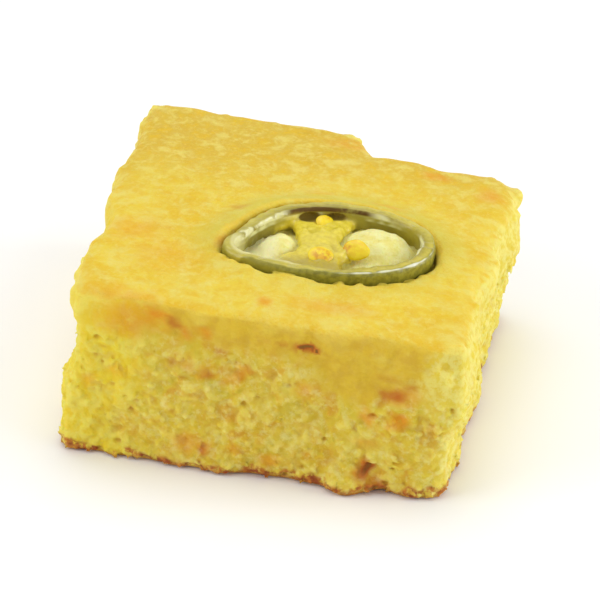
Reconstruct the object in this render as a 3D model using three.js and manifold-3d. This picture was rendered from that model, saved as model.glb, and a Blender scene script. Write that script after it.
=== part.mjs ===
// A hand-cut square of jalapeno cornbread, in millimetres, +Z up.
// X runs along the front cut, Y from the front cut to the back one. The square stands on its
// flat pan side at Z = 0, with the middle of its outline at X = 0, Y = 0, and is thicker to the left.
//
// The bread is one solid: four upright knife cuts with torn crumb, a smooth baked top that
// curls over at its edges, and a pocket in which one slice of pepper is baked. Batter has risen
// through the two chambers of the slice, as two low domes that belong to the bread.
import * as THREE from "three";
import { ParametricGeometry } from "three/addons/geometries/ParametricGeometry.js";
import { ImprovedNoise } from "three/addons/math/ImprovedNoise.js";
import { mergeVertices } from "three/addons/utils/BufferGeometryUtils.js";
import Module from "manifold-3d";

// ---- Driving dimensions, mm -------------------------------------------------------------

const HEIGHT = 29; // pan side to crust, in the middle of the plan
const FALL = 0.051; // the loaf was thinner to the right: fall of the crust for each mm
const DOME = 1.1; // how much the crust has risen above that slope in the middle
const DOME_REACH = 46; // from the middle to where it has not

// The plan on the pan side, cut by hand and deeper to the back left. A cut's `lean` is how far
// it stands out for each mm of height.
const FRONT_LEFT = new THREE.Vector2(-31.9, -32);
const FRONT_RIGHT = new THREE.Vector2(31.6, -32);
const BACK_RIGHT = new THREE.Vector2(33.6, 30.8);
const BACK_LEFT = new THREE.Vector2(-33, 39.6);
const LEFT_LEAN = -0.04;
const RIGHT_LEAN = 0.07;

const CRUST_CURL = 3.6; // radius with which crust and cut turn into each other
const CURL_TURN = 0.72; // how much of that radius each of the two goes round
const CORNER_WEAR = 1.3; // crumb lost along each upright corner
const CORNER_REACH = 3.5; // and how far from the corner the loss starts

const CUT_STEP = 1.67; // grid of the torn crumb on the cuts
const TOP_STEP = 2.2; // grid of the smooth crust
const CLUMP = 5.2; // size of the larger clumps of crumb
const CLUMP_RELIEF = 1.15;
const GRAIN = 2.7; // size of the smaller ones
const GRAIN_RELIEF = 0.6;
const WAVE = 13; // length of the slow waves in a cut
const WAVE_RELIEF = 1.5;
const DENSE_BAND = 5; // crumb under the crust is finer, down to this depth

// The pepper slice: a bias cut, so an oval ring with a web across it.
const SLICE_X = 8.0;
const SLICE_Y = -5.1;
const SLICE_TURN = THREE.MathUtils.degToRad(14);
const SLICE_LONG = 16.9; // outer half length
const SLICE_SHORT = 12.1; // outer half width
const SLICE_POINT = 1.9; // the left end is drawn out by this much
const SLICE_PINCH = 0.16; // narrowed there by this share
const SLICE_HOOK = 3.8; // and bent towards the front
const SLICE_WALL = 2.4;
const SLICE_UNEVEN = 0.35; // how far its outline wanders in and out
const SLICE_THICKNESS = 4.6;
const SLICE_PROUD = 1.6; // rim above the crust that has no mound
const FIT_GAP = 0.35; // clearance between bread and pepper
const RIM_SIDES = 64;

// The crust: two swells of its surface, and the mound where it has risen against the ring.
// The mound's reach is a share of the oval. At one angle of it the crust has sunk instead.
const SWELLS = [
  { length: 17, height: 0.55 },
  { length: 7.5, height: 0.3 },
];
const MOUND = { height: 1.45, reach: 0.38, leastShare: -0.4, lowestAt: THREE.MathUtils.degToRad(-58) };

// ---- Noise and curves -------------------------------------------------------------------

const perlin = new ImprovedNoise();

// Smooth noise from about -1 to 1, whose features are `size` mm long.
function waves(x, y, z, size) {
  const away = 37.3; // keeps clear of the planes through 0, where this noise is flat
  return perlin.noise(x / size + away, y / size + away, z / size + away);
}

// A repeatable number from 0 to 1 for a cell of a grid.
function cellNumber(i, j, k, salt) {
  let h = Math.imul(i, 73856093) ^ Math.imul(j, 19349663);
  h ^= Math.imul(k, 83492791) ^ Math.imul(salt, 2654435761);
  h = Math.imul(h ^ (h >>> 15), 2246822519);
  h = Math.imul(h ^ (h >>> 13), 3266489917);
  return ((h ^ (h >>> 16)) >>> 0) / 4294967296;
}

// Rounded clumps packed in space: 1 at the middle of a clump, down to about 0 in its creases.
function clumps(x, y, z, size) {
  const cell = [x, y, z].map((value) => value / size);
  const base = cell.map(Math.floor);
  let nearest = Infinity;
  for (let n = 0; n < 27; n++) {
    const at = [n % 3, Math.floor(n / 3) % 3, Math.floor(n / 9)].map((step, axis) => base[axis] + step - 1);
    const offsets = at.map((corner, axis) => corner + cellNumber(...at, axis + 1) - cell[axis]);
    nearest = Math.min(nearest, Math.hypot(...offsets));
  }
  return Math.max(0, 1 - nearest);
}

// A smooth bump: 1 at no distance, 0 from distance 1 outwards.
function bump(distance) {
  return distance < 1 ? (1 - distance * distance) ** 2 : 0;
}

// ---- Solids -----------------------------------------------------------------------------

const wasm = await Module();
wasm.setup();

// A three.js geometry as a manifold-3d solid.
function solidOf(geometry) {
  const bare = new THREE.BufferGeometry();
  bare.setAttribute("position", geometry.getAttribute("position"));
  bare.setIndex(geometry.getIndex());
  const merged = mergeVertices(bare, 1e-4);
  return new wasm.Manifold(
    new wasm.Mesh({
      numProp: 3,
      vertProperties: merged.attributes.position.array,
      triVerts: new Uint32Array(merged.index.array),
    }),
  );
}

// A manifold-3d solid as a three.js geometry.
function geometryOf(solid) {
  const made = solid.getMesh();
  const geometry = new THREE.BufferGeometry();
  geometry.setAttribute("position", new THREE.BufferAttribute(made.vertProperties, 3));
  geometry.setIndex(new THREE.BufferAttribute(made.triVerts, 1));
  geometry.computeVertexNormals();
  return geometry;
}

// Moves every vertex of a geometry by a function that changes a Vector3.
function reshape(geometry, change) {
  const position = geometry.getAttribute("position");
  const point = new THREE.Vector3();
  for (let i = 0; i < position.count; i++) {
    point.fromBufferAttribute(position, i);
    change(point);
    position.setXYZ(i, point.x, point.y, point.z);
  }
  return geometry;
}

// A number from -1 to 1 pushed outwards, which turns a round section into a squarish one.
function squarer(t, power) {
  return Math.sign(t) * Math.abs(t) ** power;
}

function unionOf(solids) {
  return solids.reduce((sum, solid) => sum.add(solid));
}

// ---- The bread's four cuts --------------------------------------------------------------

// Chips and lumps on a cut: `along` runs from its middle, to the right as seen from outside.
const FRONT_MARKS = [
  { along: 8.2, z: 25.4, radius: 2.6, out: -1.6 }, // open pit under the crust
  { along: 4.2, z: 25.6, radius: 2.4, out: -0.8 }, // the crack that leads to it
  { along: 15.6, z: 0.8, radius: 5, out: 2.8 }, // lump at the foot
  { along: 19.3, z: 4.6, radius: 2.9, out: -1.8 }, // crevice above it
  { along: 21.9, z: 0.6, radius: 2.6, out: -1.9 }, // notch beside it
  { along: -22, z: 5, radius: 4, out: -0.8 },
  { along: -4, z: 15, radius: 5, out: -0.7 },
];
const RIGHT_MARKS = [
  { along: 17.5, z: 21, radius: 7.5, out: 3.3 },
  { along: 22, z: 4, radius: 5.5, out: 1.4 },
  { along: -9, z: 14, radius: 4.5, out: -1.1 },
  { along: 6, z: 7, radius: 3, out: -1.3 },
];
const BACK_MARKS = [
  { along: -14, z: 18, radius: 3.2, out: -1.4 },
  { along: 14, z: 9, radius: 3.6, out: -1.3 },
  { along: 25, z: 2, radius: 4, out: 1.3 },
  { along: -10, z: 29, radius: 2.8, out: -2.4 }, // chip out of the crust, beside the step
  { along: -22, z: 28, radius: 4.5, out: -1.6 },
];
const LEFT_MARKS = [
  { along: 11.8, z: 30, radius: 9, out: -2.3 }, // crust chipped off the edge
  { along: -15, z: 12, radius: 3.5, out: -1.3 },
  { along: -2, z: 5, radius: 3, out: -1.2 },
];

// The knife changed line halfway along the back.
const BACK_STEP = { out: 2.7, at: -7.2, length: 2.2 };

function backStep(along) {
  const ramp = (2 * along) / BACK_RIGHT.distanceTo(BACK_LEFT);
  return BACK_STEP.out * (Math.tanh((along - BACK_STEP.at) / BACK_STEP.length) - ramp);
}

// Along the left cut the crust stands out as a lip, over crumb that was torn away.
const LEFT_LEDGE = { depth: 1.7, z: 22.2, above: 4.6, below: 12 };

function leftLedge(along, z) {
  const reach = z > LEFT_LEDGE.z ? LEFT_LEDGE.above : LEFT_LEDGE.below;
  return -LEFT_LEDGE.depth * bump(Math.abs(z - LEFT_LEDGE.z) / reach);
}

const CUTS = [
  { from: FRONT_LEFT, to: FRONT_RIGHT, marks: FRONT_MARKS, lean: 0, bend: () => 0 },
  { from: FRONT_RIGHT, to: BACK_RIGHT, marks: RIGHT_MARKS, lean: RIGHT_LEAN, bend: () => 0 },
  { from: BACK_RIGHT, to: BACK_LEFT, marks: BACK_MARKS, lean: 0, bend: backStep },
  { from: BACK_LEFT, to: FRONT_LEFT, marks: LEFT_MARKS, lean: LEFT_LEAN, bend: leftLedge },
];

// Height of the crust that has no slice in it and no edge near.
function plainTop(x, y) {
  const across = Math.min(1, Math.hypot(x, y) / DOME_REACH);
  return HEIGHT - FALL * x + DOME * (1 - across ** 2);
}

// How far a surface falls away at a distance from the edge between crust and cut.
function curl(distance) {
  const near = CURL_TURN * THREE.MathUtils.clamp(CRUST_CURL - distance, 0, CRUST_CURL);
  return CRUST_CURL - Math.sqrt(CRUST_CURL ** 2 - near ** 2);
}

// How far the torn crumb stands out from the plane of a cut, at a place in space.
function cutRelief(cut, along, point) {
  const { x, y, z } = point;
  const half = cut.from.distanceTo(cut.to) / 2;
  const nearCorner = THREE.MathUtils.smoothstep(Math.abs(along), half - CORNER_REACH, half + 0.5);
  const depth = THREE.MathUtils.smoothstep(plainTop(x, y) - z, 0, DENSE_BAND);
  const coarse = 0.35 + 0.65 * depth;
  let out = WAVE_RELIEF * waves(x, y, z, WAVE);
  out += coarse * CLUMP_RELIEF * (clumps(x, y, z, CLUMP) - 0.5);
  out += coarse * GRAIN_RELIEF * (clumps(x, y, z, GRAIN) - 0.5);
  for (const mark of cut.marks) {
    out += mark.out * bump(Math.hypot(along - mark.along, z - mark.z) / mark.radius);
  }
  out += cut.bend(along, z) + cut.lean * z;
  return out - curl(plainTop(x, y) - z) - CORNER_WEAR * nearCorner ** 2;
}

// Everything on the inner side of a cut, as a block whose one face has the crumb's relief.
function cutBlock(cut) {
  const margin = 5; // past the pan side and the crust
  const overrun = 30; // past the corners
  const inward = 120;
  const tall = HEIGHT + 2 * margin;
  const length = cut.from.distanceTo(cut.to) + 2 * overrun;
  const middle = cut.from.clone().add(cut.to).divideScalar(2);
  const run = cut.to.clone().sub(cut.from).normalize();
  const columns = Math.round(length / CUT_STEP);
  const rows = Math.round(tall / CUT_STEP);
  const block = new THREE.BoxGeometry(length, inward, tall, columns, 1, rows);
  block.translate(0, inward / 2, tall / 2 - margin);
  return reshape(block, (p) => {
    const [along, inside] = [p.x, p.y];
    p.set(middle.x + run.x * along, middle.y + run.y * along, p.z);
    const out = inside === 0 ? cutRelief(cut, along, p) : -inside;
    p.x += run.y * out;
    p.y -= run.x * out;
  });
}

// ---- The bread's top --------------------------------------------------------------------

// Distance from the upper edge of a cut to a point of the plan, inwards.
function insideCut(cut, x, y) {
  const run = cut.to.clone().sub(cut.from).normalize();
  const away = new THREE.Vector2(x, y).sub(cut.from);
  const along = away.dot(run) - cut.from.distanceTo(cut.to) / 2;
  return run.cross(away) + cut.bend(along, HEIGHT) + cut.lean * HEIGHT;
}

// A place in the slice's own directions: right along its long axis, and across it.
function inSlice(x, y) {
  return new THREE.Vector2(x - SLICE_X, y - SLICE_Y).rotateAround(new THREE.Vector2(), -SLICE_TURN);
}

const SLICE_RIM = plainTop(SLICE_X, SLICE_Y) + SLICE_PROUD;

// Crust heaped round the ring.
function mound(x, y) {
  const local = inSlice(x, y);
  const ring = Math.hypot(local.x / SLICE_LONG, local.y / SLICE_SHORT);
  const angle = Math.atan2(local.y / SLICE_SHORT, local.x / SLICE_LONG);
  const away = Math.abs(Math.sin((angle - MOUND.lowestAt) / 2));
  const share = MOUND.leastShare + (1 - MOUND.leastShare) * away;
  return MOUND.height * share * bump(Math.abs(ring - 1) / MOUND.reach);
}

function topHeight(x, y) {
  let height = plainTop(x, y) + mound(x, y);
  for (const swell of SWELLS) height += swell.height * waves(x, y, 0, swell.length);
  for (const cut of CUTS) height -= curl(insideCut(cut, x, y));
  return height;
}

function topBlock() {
  const wide = 88;
  const deep = 20; // below the pan side, which trims it
  const cells = Math.round(wide / TOP_STEP);
  const block = new THREE.BoxGeometry(wide, wide, HEIGHT + deep, cells, cells, 1);
  block.translate(0, 0, (HEIGHT - deep) / 2);
  return reshape(block, (p) => {
    if (p.z > 0) p.z = topHeight(p.x, p.y);
  });
}

// The flat side that stood on the pan.
function panBlock() {
  const [wide, tall] = [120, 60];
  return new THREE.BoxGeometry(wide, wide, tall).translate(0, 0, tall / 2);
}

// ---- The pepper slice -------------------------------------------------------------------

// The web that crosses the ring, a soft waisted bar, and the seeds that lie on it.
// Places are in the slice's own directions, with z down from the rim.
const WEB_HALF_LENGTH = 12.6; // into the ring's wall at both ends
const WEB_WAIST = 3.3; // half width where it is narrowest
const WEB_FLARE_BACK = 6.2; // how much wider it is at its back end
const WEB_FLARE_FRONT = 5.5;
const WEB_MIDDLE = -2.5; // where it crosses the long axis
const WEB_LEAN = 0.19; // how far it moves to the right for each mm towards the back
const WEB_LOBES = [
  { side: 1, y: -2.6, reach: 3.8, out: 2.6 }, // bears a seed
  { side: -1, y: -5.6, reach: 3.8, out: 1.9 },
];
const WEB_TOP = 1.4; // below the rim, in the middle
const WEB_FALL = 0.07; // how much lower its top is for each mm towards the back
const WEB_EDGE_UNEVEN = 0.5;
const WEB_TOP_UNEVEN = 0.3;
const SEED = { long: 2.1, short: 1.8, thick: 0.55 }; // half sizes of a full one
const SEEDS = [
  { x: 3.3, y: -2.9, z: 0.95, turn: -0.35, tilt: 0.75, size: 1 },
  { x: -2.8, y: -5.4, z: 0.85, turn: 0.15, tilt: 0.5, size: 0.95 },
  { x: -0.8, y: 8.0, z: 2.0, turn: 0.4, tilt: 0.5, size: 0.7 },
];

// The outer edge of the rim, grown by `grow`: an oval whose left end is a blunt, bent point.
function rim(angle, grow) {
  const [c, s] = [Math.cos(angle), Math.sin(angle)];
  const out = grow + SLICE_UNEVEN * waves(c, s, 0, 0.8);
  const left = Math.max(0, -c);
  const long = SLICE_LONG + SLICE_POINT * left ** 10 + out;
  const short = (SLICE_SHORT + out) * (1 - SLICE_PINCH * left ** 3);
  return new THREE.Vector2(long * c, short * s - SLICE_HOOK * left ** 3);
}

// An upright block with that outline, from `top` down to `bottom`, both measured from the rim.
function rimBlock(grow, top, bottom) {
  const block = new THREE.CylinderGeometry(1, 1, top - bottom, RIM_SIDES).rotateX(Math.PI / 2);
  return reshape(block.translate(0, 0, (top + bottom) / 2), (p) => {
    const edge = rim(Math.atan2(p.y, p.x), grow).multiplyScalar(Math.hypot(p.x, p.y));
    p.set(edge.x, edge.y, p.z);
  });
}

// The ring's wall. The angle runs round the oval and the section is a rounded bar.
function ringGeometry() {
  const sectionSides = 12;
  const squareness = 0.55;
  const point = (u, v, target) => {
    const angle = u * 2 * Math.PI;
    const section = v * 2 * Math.PI;
    const uneven = SLICE_UNEVEN * waves(Math.cos(angle), Math.sin(angle), 20, 0.6);
    const inwards = (SLICE_WALL / 2 + uneven) * (1 - squarer(Math.cos(section), squareness));
    const place = rim(angle, -inwards);
    const down = (SLICE_THICKNESS / 2) * (1 - squarer(Math.sin(section), squareness));
    target.set(place.x, place.y, -down);
  };
  return new ParametricGeometry(point, RIM_SIDES, sectionSides);
}

// The web: a ball drawn out into a bar, with a flat top and a waist.
function webGeometry(grow) {
  const half = (SLICE_THICKNESS - WEB_TOP) / 2;
  const squareness = 0.5;
  return reshape(new THREE.SphereGeometry(1, 24, 18), (p) => {
    const across = WEB_HALF_LENGTH * p.y;
    const flare = p.y ** 2 * (p.y > 0 ? WEB_FLARE_BACK : WEB_FLARE_FRONT);
    const uneven = WEB_EDGE_UNEVEN * waves(0, across, Math.sign(p.x), 5);
    let wide = WEB_WAIST + flare + uneven + grow;
    for (const { side, y, reach, out } of WEB_LOBES) {
      if (p.x * side > 0) wide += out * bump(Math.abs(across - y) / reach);
    }
    const share = squarer(p.z, squareness);
    const swell = WEB_TOP_UNEVEN * waves(p.x, across / 3, 9, 1) - WEB_FALL * across;
    p.x = WEB_MIDDLE + WEB_LEAN * across + wide * squarer(p.x, squareness);
    p.y = across;
    p.z = (half + grow) * share - WEB_TOP - half + swell * Math.max(0, share);
  });
}

// A seed: a flat disc with a blunt edge.
function seed({ x, y, z, turn, tilt, size }, grow) {
  const disc = new THREE.SphereGeometry(1, 8, 5).rotateX(Math.PI / 2);
  disc.scale(size * SEED.long + grow, size * SEED.short + grow, size * SEED.thick + grow);
  return disc.rotateX(tilt).rotateZ(turn).translate(x, y, -z);
}

// The web and its seeds as one solid, grown by a clearance where the bread leaves room for it.
function heart(grow) {
  const seeds = SEEDS.map((place) => solidOf(seed(place, grow)));
  const room = rimBlock(grow - SLICE_WALL / 2, grow, -SLICE_THICKNESS - grow);
  return unionOf([solidOf(webGeometry(grow)), ...seeds]).intersect(solidOf(room));
}

function sliceSolid() {
  return solidOf(ringGeometry()).add(heart(0));
}

// ---- Where bread and pepper meet --------------------------------------------------------

// Takes a solid from the slice's own frame to the bread's: turned, and tilted with the crust.
function placed(solid) {
  const move = new THREE.Matrix4().makeRotationY(Math.atan(FALL));
  move.multiply(new THREE.Matrix4().makeRotationZ(SLICE_TURN)).setPosition(SLICE_X, SLICE_Y, SLICE_RIM);
  return solid.transform(move.elements);
}

// The hole that the slice is baked into, open at the top.
function pocket() {
  const above = 8;
  return placed(solidOf(rimBlock(FIT_GAP, above, -SLICE_THICKNESS - FIT_GAP)));
}

// Batter that rose through the ring: a low level, with a dome on each side of the web.
const BATTER_BELOW_RIM = 2.7;
const DOME_UNEVEN = 0.12;
const DOMES = [
  { x: -8.4, y: -0.2, rx: 4.2, ry: 5.2, belowRim: 0.8 },
  { x: 7.7, y: 2.1, rx: 6.6, ry: 6.6, belowRim: 0.7 },
];

function batterDome({ x, y, rx, ry, belowRim }) {
  const dome = new THREE.SphereGeometry(1, 22, 14).rotateX(Math.PI / 2);
  reshape(dome, (p) => {
    p.multiplyScalar(1 + DOME_UNEVEN * waves(p.x, p.y, p.z + x, 0.8));
  });
  return dome.scale(rx, ry, SLICE_THICKNESS - belowRim).translate(x, y, -SLICE_THICKNESS);
}

function batter() {
  const sunk = 1; // below the slice, so that it joins the crumb there
  const clear = 0.3 + FIT_GAP; // of the ring's inner wall
  const tall = SLICE_THICKNESS + sunk - BATTER_BELOW_RIM;
  const level = new THREE.SphereGeometry(1, 36, 12).rotateX(Math.PI / 2);
  level.scale(SLICE_LONG, SLICE_SHORT, tall).translate(0, 0, -BATTER_BELOW_RIM - tall);
  const risen = unionOf([level, ...DOMES.map(batterDome)].map(solidOf));
  const chambers = solidOf(rimBlock(-SLICE_WALL - clear, sunk, -SLICE_THICKNESS - sunk));
  return placed(risen.intersect(chambers).subtract(heart(FIT_GAP)));
}

function breadSolid() {
  const uncut = CUTS.map((cut) => solidOf(cutBlock(cut)));
  const block = uncut.reduce((whole, cut) => whole.intersect(cut), solidOf(topBlock()));
  return block.intersect(solidOf(panBlock())).subtract(pocket()).add(batter());
}

// ---- The finished model -----------------------------------------------------------------

const crumb = new THREE.MeshStandardMaterial({ color: 0xe4c853, roughness: 0.85, metalness: 0 });
const pepper = new THREE.MeshStandardMaterial({ color: 0x9a9344, roughness: 0.35, metalness: 0 });

function named(name, solid, material) {
  const mesh = new THREE.Mesh(geometryOf(solid), material);
  mesh.name = name;
  return mesh;
}

const cornbread = new THREE.Group();
cornbread.add(named("cornbread", breadSolid(), crumb));
cornbread.add(named("pepper_slice", placed(sliceSolid()), pepper));

// The origin is under the middle of the outline, crags and all.
const outline = new THREE.Box3().setFromObject(cornbread, true);
const centre = outline.getCenter(new THREE.Vector3());
cornbread.position.set(-centre.x, -centre.y, -outline.min.z);

export default cornbread;
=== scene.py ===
"""The fine surface of a cornbread square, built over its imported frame.

Each solid of the frame becomes a field of signed distances on a cubic grid: negative inside, and
positive outside. Crumb, pores, crust and pepper flesh are worked into the field, and the place
where it is zero becomes the mesh. Lengths in the fields are millimetres, and Blender's are metres.
"""

import itertools
import math
from types import SimpleNamespace

import bmesh
import bpy
import numpy as np
import openvdb
from mathutils import Matrix, Vector

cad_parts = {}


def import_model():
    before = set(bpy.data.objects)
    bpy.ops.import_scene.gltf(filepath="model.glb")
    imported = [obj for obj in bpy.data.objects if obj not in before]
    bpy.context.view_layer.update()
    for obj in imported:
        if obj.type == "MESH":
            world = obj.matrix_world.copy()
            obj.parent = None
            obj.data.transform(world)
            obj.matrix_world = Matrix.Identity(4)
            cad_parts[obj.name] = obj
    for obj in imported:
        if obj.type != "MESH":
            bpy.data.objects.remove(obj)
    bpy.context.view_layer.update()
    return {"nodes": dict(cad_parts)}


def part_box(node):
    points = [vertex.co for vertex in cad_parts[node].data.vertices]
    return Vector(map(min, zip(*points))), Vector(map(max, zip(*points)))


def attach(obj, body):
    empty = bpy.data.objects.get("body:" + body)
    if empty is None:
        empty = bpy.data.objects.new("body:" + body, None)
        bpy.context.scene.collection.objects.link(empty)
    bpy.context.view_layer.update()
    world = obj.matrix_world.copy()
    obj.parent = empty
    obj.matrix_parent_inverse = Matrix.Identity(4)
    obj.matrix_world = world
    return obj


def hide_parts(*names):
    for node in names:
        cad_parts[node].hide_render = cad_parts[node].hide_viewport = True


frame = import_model()

MM = 0.001

# ---- Dimensions, mm, in the frame's own axes --------------------------------------------

# The pepper slice: an oval ring, turned on the crust and falling with it to the right.
SLICE_LONG = 16.9  # half length and half width of its outer edge
SLICE_SHORT = 12.1
SLICE_POINT = 1.9  # its left end is drawn out this far, narrower by a share, and bent forwards
SLICE_PINCH = 0.16
SLICE_HOOK = 3.8
SLICE_TURN = math.radians(14)
SLICE_TILT = math.atan(0.051)
SLICE_OFF_MIDDLE = (0.43, 0.02, 0)  # from the middle of its box to its centre
RIM_BELOW_TOP = 0.82  # height of the rim over its centre, below the highest point of the slice


# ---- Numbers ----------------------------------------------------------------------------


def smoothstep(low, high, value):
    """0 below `low`, 1 above `high` and smooth between; falls instead where low is above high."""
    t = np.clip((value - low) / (high - low), 0, 1)
    return t * t * (3 - 2 * t)


def bump(distance):
    """1 at no distance, 0 from distance 1 outwards."""
    return np.clip(1 - distance**2, 0, 1) ** 2


def soft_min(a, b, reach):
    """The lower of two fields: joins two shapes with a fillet."""
    near = np.clip(1 - np.abs(a - b) / reach, 0, 1)
    return np.minimum(a, b) - near**2 * reach / 4


def soft_max(a, b, reach):
    """The higher of two fields: cuts one shape by another with a soft edge."""
    return -soft_min(-a, -b, reach)


NOISE_CELLS = 32  # the random lattices repeat after this many cells


def random_lattice(seed, numbers):
    lattice = np.random.default_rng(seed).random((NOISE_CELLS,) * 3 + (numbers,))
    return lattice.astype(np.float32)


def cell_of(points, size):
    """Which cell of a lattice each point is in, and where in that cell."""
    scaled = points / np.asarray(size, np.float32)
    cell = np.floor(scaled)
    return cell.astype(np.int32), (scaled - cell).astype(np.float32)


def waves(points, size, seed):
    """Smooth noise from -1 to 1 whose swells are `size` long, one number or three."""
    lattice = random_lattice(seed, 1)[..., 0]
    cell, inside = cell_of(points, size)
    eased = inside * inside * (3 - 2 * inside)
    total = np.zeros(len(points), np.float32)
    for corner in itertools.product((0, 1), repeat=3):
        share = np.prod(np.where(corner, eased, 1 - eased), axis=1)
        x, y, z = ((cell + corner) % NOISE_CELLS).T
        total += share * lattice[x, y, z]
    return 2 * total - 1


def layered(points, layers):
    """Waves on waves: each layer is a height, a length and a seed."""
    return sum(height * waves(points, size, seed) for height, size, seed in layers)


def shaken(points, reach, size, seed):
    """Places pushed about by up to `reach`, by waves of their own along each axis."""
    return points + reach * np.stack([waves(points, size, seed + i) for i in range(3)], axis=1)


def beyond(points, low, high):
    """How far each point is outside a box; below 0 inside it."""
    return np.max(np.maximum(low - points, points - high), axis=1)


def balls(points, size, seed, smallest, largest, favour=1.0):
    """Distance to the nearest of many balls, one in each cell, and that ball's own random number.

    Radii run from `smallest` to `largest`, and a `favour` above 1 makes small ones commoner.
    """
    lattice = random_lattice(seed, 4)
    size = np.asarray(size, np.float32) * np.ones(3, np.float32)
    cell, inside = cell_of(points, size)
    nearest = np.full(len(points), np.inf, np.float32)
    own = np.zeros(len(points), np.float32)
    for step in itertools.product((-1, 0, 1), repeat=3):
        x, y, z = ((cell + step) % NOISE_CELLS).T
        ball = lattice[x, y, z]
        away = (ball[:, :3] + np.array(step, np.float32) - inside) * size
        radius = smallest + (largest - smallest) * ball[:, 3] ** favour
        distance = np.sqrt(np.einsum("ij,ij->i", away, away)) - radius
        closer = distance < nearest
        nearest[closer] = distance[closer]
        own[closer] = ball[closer, 3]
    return nearest, own


def blurred(values, spread):
    """A Gaussian blur along every axis; `spread` is its sigma in cells."""
    reach = math.ceil(3 * spread)
    weights = np.exp(-0.5 * (np.arange(-reach, reach + 1) / spread) ** 2)
    weights = (weights / weights.sum()).astype(np.float32)
    for axis in range(values.ndim):
        widths = [(reach, reach) if a == axis else (0, 0) for a in range(values.ndim)]
        padded = np.moveaxis(np.pad(values, widths, mode="edge"), axis, 0)
        length = values.shape[axis]
        total = sum(w * padded[i : i + length] for i, w in enumerate(weights))
        values = np.ascontiguousarray(np.moveaxis(total, 0, axis))
    return values


# ---- Fields -----------------------------------------------------------------------------

FAR_OUTSIDE = 10.0  # what a field says where no surface is near


class Field:
    """Signed distances at the points of a cubic grid."""

    def __init__(self, values, corner, pitch):
        self.values = values
        self.corner = np.asarray(corner, np.float32)
        self.pitch = pitch

    def with_values(self, values):
        return Field(values, self.corner, self.pitch)

    def changed(self, where, values):
        """A copy with new values at the grid points that a mask picks."""
        copy = self.values.copy()
        copy[where] = values
        return self.with_values(copy)

    def softened(self, spread):
        """A copy blurred by `spread`, a sigma in millimetres."""
        return self.with_values(blurred(self.values, spread / self.pitch))

    def points(self, where):
        """The places of the grid points that a mask picks."""
        return (np.argwhere(where) * self.pitch + self.corner).astype(np.float32)

    def at(self, points):
        """The field at any points, linear between its own."""
        scaled = (points - self.corner) / self.pitch
        most = np.array(self.values.shape) - 1.001
        scaled = np.clip(scaled, 0, most)
        cell = scaled.astype(np.int32)
        inside = scaled - cell
        total = np.zeros(len(points), np.float32)
        for corner in itertools.product((0, 1), repeat=3):
            share = np.prod(np.where(corner, inside, 1 - inside), axis=1)
            x, y, z = (cell + corner).T
            total += share * self.values[x, y, z]
        return total

    def normals(self, points):
        """The field's direction of growth at any points: outwards, of length 1."""
        step = self.pitch
        slopes = []
        for axis in range(3):
            move = np.zeros(3, np.float32)
            move[axis] = step
            slopes.append(self.at(points + move) - self.at(points - move))
        slopes = np.stack(slopes, axis=1)
        return slopes / np.maximum(np.linalg.norm(slopes, axis=1, keepdims=True), 1e-9)


def field_of(node, pitch, band):
    """A node of the frame as a field, exact up to `band` from its surface and level beyond."""
    mesh = frame["nodes"][node].data
    mesh.calc_loop_triangles()
    corners = np.empty(len(mesh.vertices) * 3, np.float32)
    mesh.vertices.foreach_get("co", corners)
    faces = np.empty(len(mesh.loop_triangles) * 3, np.int32)
    mesh.loop_triangles.foreach_get("vertices", faces)
    grid = openvdb.FloatGrid.createLevelSetFromPolygons(
        corners.reshape(-1, 3) / MM,
        triangles=faces.reshape(-1, 3),
        transform=openvdb.createLinearTransform(voxelSize=pitch),
        halfWidth=band / pitch,
    )
    low, high = (np.array(corner) for corner in grid.evalActiveVoxelBoundingBox())
    values = np.empty(high - low + 1, np.float32)
    grid.copyToArray(values, ijk=tuple(int(i) for i in low))
    return Field(values, low * pitch, pitch)


def largest_body(points, faces):
    """The faces of the largest connected body: leaves out loose crumbs and sealed pores."""
    label = np.arange(len(points))
    edges = np.concatenate([faces[:, [i, (i + 1) % faces.shape[1]]] for i in range(faces.shape[1])])
    while True:
        lowest = np.minimum(label[edges[:, 0]], label[edges[:, 1]])
        new = label.copy()
        np.minimum.at(new, edges[:, 0], lowest)
        np.minimum.at(new, edges[:, 1], lowest)
        new = new[new]
        if np.array_equal(new, label):
            break
        label = new
    kept = label == np.bincount(label).argmax()
    faces = faces[kept[faces[:, 0]]]
    number = np.cumsum(kept) - 1
    return points[kept], number[faces]


def mesh_of(field, name, most_triangles):
    """The surface on which a field is zero, as an object with smooth shading."""
    grid = openvdb.FloatGrid(FAR_OUTSIDE)
    grid.copyFromArray(field.values)
    points, quads = grid.convertToQuads(isovalue=0)
    points, quads = largest_body(points, quads.astype(np.int64))
    points = (points * field.pitch + field.corner) * MM
    across, along = (points[quads[:, b]] - points[quads[:, a]] for a, b in ((0, 2), (1, 3)))
    turned = np.einsum("ij,ij->", np.cross(across, along), points[quads[:, 0]]) < 0
    if turned:
        quads = quads[:, ::-1]
    mesh = bpy.data.meshes.new(name)
    mesh.from_pydata(points.tolist(), [], quads.tolist())
    thing = bpy.data.objects.new(name, mesh)
    bpy.context.scene.collection.objects.link(thing)
    if 2 * len(quads) > most_triangles:
        thin(thing, most_triangles / (2 * len(quads)))
    thing.data.shade_smooth()
    return thing


def thin(thing, share):
    """Leaves that share of an object's triangles, fewest where it is flattest."""
    modifier = thing.modifiers.new("thin", "DECIMATE")
    modifier.ratio = share
    graph = bpy.context.evaluated_depsgraph_get()
    done = bpy.data.meshes.new_from_object(thing.evaluated_get(graph))
    thing.modifiers.clear()
    old = thing.data
    thing.data = done
    bpy.data.meshes.remove(old)
    done.name = thing.name


def places(thing):
    """Every vertex of an object, in millimetres."""
    mesh = thing.data
    flat = np.empty(len(mesh.vertices) * 3, np.float32)
    mesh.vertices.foreach_get("co", flat)
    return flat.reshape(-1, 3) / MM


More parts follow.
